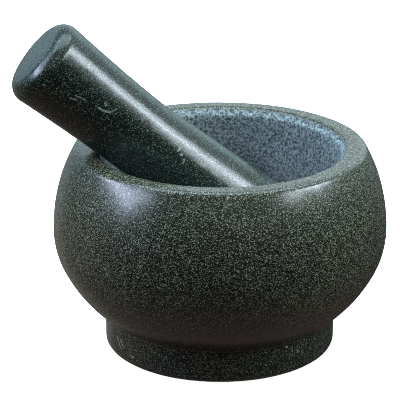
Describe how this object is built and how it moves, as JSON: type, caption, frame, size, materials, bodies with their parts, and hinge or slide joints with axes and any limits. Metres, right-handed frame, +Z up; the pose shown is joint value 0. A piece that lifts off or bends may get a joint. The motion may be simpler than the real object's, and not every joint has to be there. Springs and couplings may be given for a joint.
{
  "type": "mortar and pestle",
  "caption": "Round-bellied turned granite mortar on a foot ring, with a loose waisted pestle leaning in its bowl, for crushing and grinding food.",
  "frame": {"origin": "middle of the foot's flat underside, on the mortar's own axis", "axes": "+Z up along the mortar's axis; the pestle's handle end stands out over the rim on the -X side, in an upright plane turned 10 degrees towards -Y"},
  "size_m": [0.1988, 0.18, 0.1807],
  "materials": {
    "mortar_granite": "polished belly, honed rim, bowl and foot",
    "pestle_granite": "polished"
  },
  "bodies": {
    "mortar": {"mortar": "mortar_granite"},
    "pestle": {"pestle": "pestle_granite"}
  },
  "joints": [
    {"name": "pestle_lift_out", "type": "slide", "parent": "mortar", "child": "pestle", "axis": [0, 0, 1], "range_m": [0, 0.1]}
  ]
}
